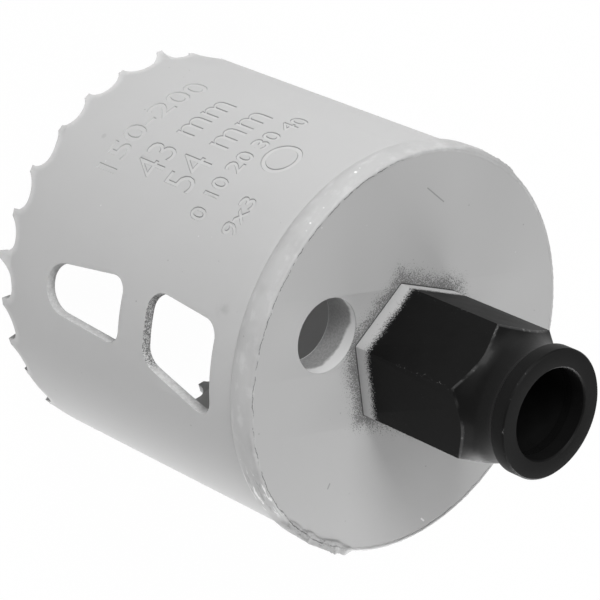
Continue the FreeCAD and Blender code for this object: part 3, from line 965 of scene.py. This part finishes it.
def boss_chips(paint, away, lowest):
    """Where the black is chipped: the hexagon's corners, the rims of its flats and the flange's edge."""
    reach = paint.reach()
    corner = reach.fade(9.55 * MM, 9.68 * MM) * paint.z.fade(66.7 * MM, 65.5 * MM)
    corner = corner * paint.cloud(3600.0, 3.0, 0.7).fade(0.62, 0.70) * paint.cloud(350.0).fade(0.50, 0.60)
    rim = (paint.z - lowest).size().fade(0.11 * MM, 0.04 * MM) * away.size().fade(0.3 * MM, 0.1 * MM)
    rim = rim * (paint.cloud(2200.0, 3.0, 0.75).fade(0.54, 0.66) * 0.7 + 0.3)
    rim = rim * paint.cloud(260.0).fade(0.38, 0.52)
    flange = reach.fade(FLANGE - 0.20 * MM, FLANGE - 0.12 * MM)
    flange = flange * (paint.z - BOSS_TOP + 0.1 * MM).size().fade(0.18 * MM, 0.08 * MM)
    flange = flange * paint.cloud(420.0, 4.0, 0.8).fade(0.58, 0.66)
    return strongest((corner, rim, flange))


def boss_finish():
    paint = Paint("boss_black")
    away = hexagon_distance(paint)
    # Height of the neck's sweep at each distance from the axis
    depth_squared = NECK_SWEEP ** 2 - (NECK + NECK_SWEEP - paint.reach()) ** 2
    lowest = SWEEP_TOP - depth_squared.most(0.0) ** 0.5
    mottle = paint.cloud(420.0, 3.0)
    black = paint.blend(mottle, grey(0.004), grey(0.007))
    end = paint.z.fade(BOSS_TOP - 0.08 * MM, BOSS_TOP - 0.02 * MM)
    black = paint.blend(end, black, grey(0.013))
    specks = paint.cells(2300.0).fade(0.13, 0.06) * paint.cloud(500.0, 2.0).fade(0.60, 0.66)
    tone = paint.blend(specks * 0.3, black, grey(0.10))
    tone = paint.blend(boss_chips(paint, away, lowest) * 0.45, tone, grey(0.32))
    # The light strip at the foot, with a ragged upper edge
    ragged = paint.cloud(500.0, 2.0) - 0.5
    foot = (paint.z + ragged * (0.6 * MM)).fade(51.9 * MM, 49.6 * MM)
    fine = paint.cloud(5200.0, 2.0, 0.6) - 0.5
    painted = (foot * 1.3 + fine * 2.0 - 0.12).fade(0.08, 0.96) * foot.fade(0.0, 0.15)
    tone = paint.blend(painted, tone, grey(0.60))
    paint.put("Base Color", tone)
    hollow = (paint.z - lowest).fade(-0.1 * MM, 0.2 * MM) * paint.z.fade(71.2 * MM, 70.8 * MM)
    paint.put("Roughness", 0.46 + mottle * 0.1 - hollow * 0.36)
    paint.put("Specular IOR Level", 0.1)
    paint.put("Coat Weight", hollow * 0.12)
    paint.put("Coat Roughness", 0.1)
    rings = (paint.z * 9000.0 + mottle * 3.0).wave() * hollow
    paint.relief(paint.cloud(1500.0, 3.0, 0.6) + rings * 0.15, 0.03 * MM, 0.5)
    return paint.material


build_cup(cup_finish(), cut_edge_finish())
build_cap(cap_finish())
build_weld(weld_finish())
build_boss(boss_finish())


# Floor, light and camera

def seen_by(tree, ray):
    """1 for what the camera sees straight or by one other kind of ray, 0 for all other light."""
    path = tree.nodes.new("ShaderNodeLightPath")
    seen = tree.nodes.new("ShaderNodeMath")
    seen.operation = "MAXIMUM"
    tree.links.new(path.outputs["Is Camera Ray"], seen.inputs[0])
    tree.links.new(path.outputs[ray], seen.inputs[1])
    return seen.outputs[0]


def build_floor():
    bm = bmesh.new()
    bmesh.ops.create_grid(bm, x_segments=1, y_segments=1, size=FLOOR_REACH)
    mesh = bpy.data.meshes.new("floor")
    bm.to_mesh(mesh)
    bm.free()
    floor = bpy.data.objects.new("floor", mesh)
    bpy.context.scene.collection.objects.link(floor)
    material = bpy.data.materials.new("floor_white")
    material.use_nodes = True
    tree = material.node_tree
    shader = tree.nodes["Principled BSDF"]
    shader.inputs["Base Color"].default_value = grey(0.8)
    shader.inputs["Roughness"].default_value = 0.9
    glow = tree.nodes.new("ShaderNodeEmission")
    glow.inputs["Strength"].default_value = 1.0
    share = tree.nodes.new("ShaderNodeMath")
    share.operation = "MULTIPLY"
    share.inputs[1].default_value = FLOOR_GLOW_SHARE
    tree.links.new(seen_by(tree, "Is Glossy Ray"), share.inputs[0])
    mix = tree.nodes.new("ShaderNodeMixShader")
    tree.links.new(share.outputs[0], mix.inputs[0])
    tree.links.new(shader.outputs[0], mix.inputs[1])
    tree.links.new(glow.outputs[0], mix.inputs[2])
    tree.links.new(mix.outputs[0], tree.nodes["Material Output"].inputs["Surface"])
    mesh.materials.append(material)


def build_world():
    world = bpy.data.worlds.new("studio")
    bpy.context.scene.world = world
    world.use_nodes = True
    tree = world.node_tree
    back = tree.nodes["Background"]
    back.inputs["Color"].default_value = grey(1.0)
    level = tree.nodes.new("ShaderNodeMapRange")
    level.inputs["To Min"].default_value = AMBIENT
    level.inputs["To Max"].default_value = 1.0
    tree.links.new(seen_by(tree, "Is Transmission Ray"), level.inputs["Value"])
    tree.links.new(level.outputs[0], back.inputs["Strength"])


def add_lamp(name, direction, distance, width, power):
    """A square soft lamp that faces the saw from a direction."""
    light = bpy.data.lights.new(name, "AREA")
    light.size = width
    light.energy = power
    lamp = bpy.data.objects.new(name, light)
    bpy.context.scene.collection.objects.link(lamp)
    turn = direction.to_track_quat("Z", "Y").to_matrix().to_4x4()
    lamp.matrix_world = Matrix.Translation(LAMP_AIM + direction.normalized() * distance) @ turn


def add_camera():
    data = bpy.data.cameras.new("camera")
    data.lens = CAMERA_LENS
    data.sensor_width = 36.0
    data.clip_start = 0.01
    camera = bpy.data.objects.new("camera", data)
    bpy.context.scene.collection.objects.link(camera)
    turn = Matrix((CAMERA_RIGHT, CAMERA_UP, -CAMERA_AHEAD)).transposed().to_4x4()
    camera.matrix_world = Matrix.Translation(CAMERA_SPOT) @ turn
    bpy.context.scene.camera = camera


build_floor()
build_world()
for lamp_row in LAMPS:
    add_lamp(*lamp_row)
add_camera()
bpy.context.scene.view_settings.view_transform = "Standard"
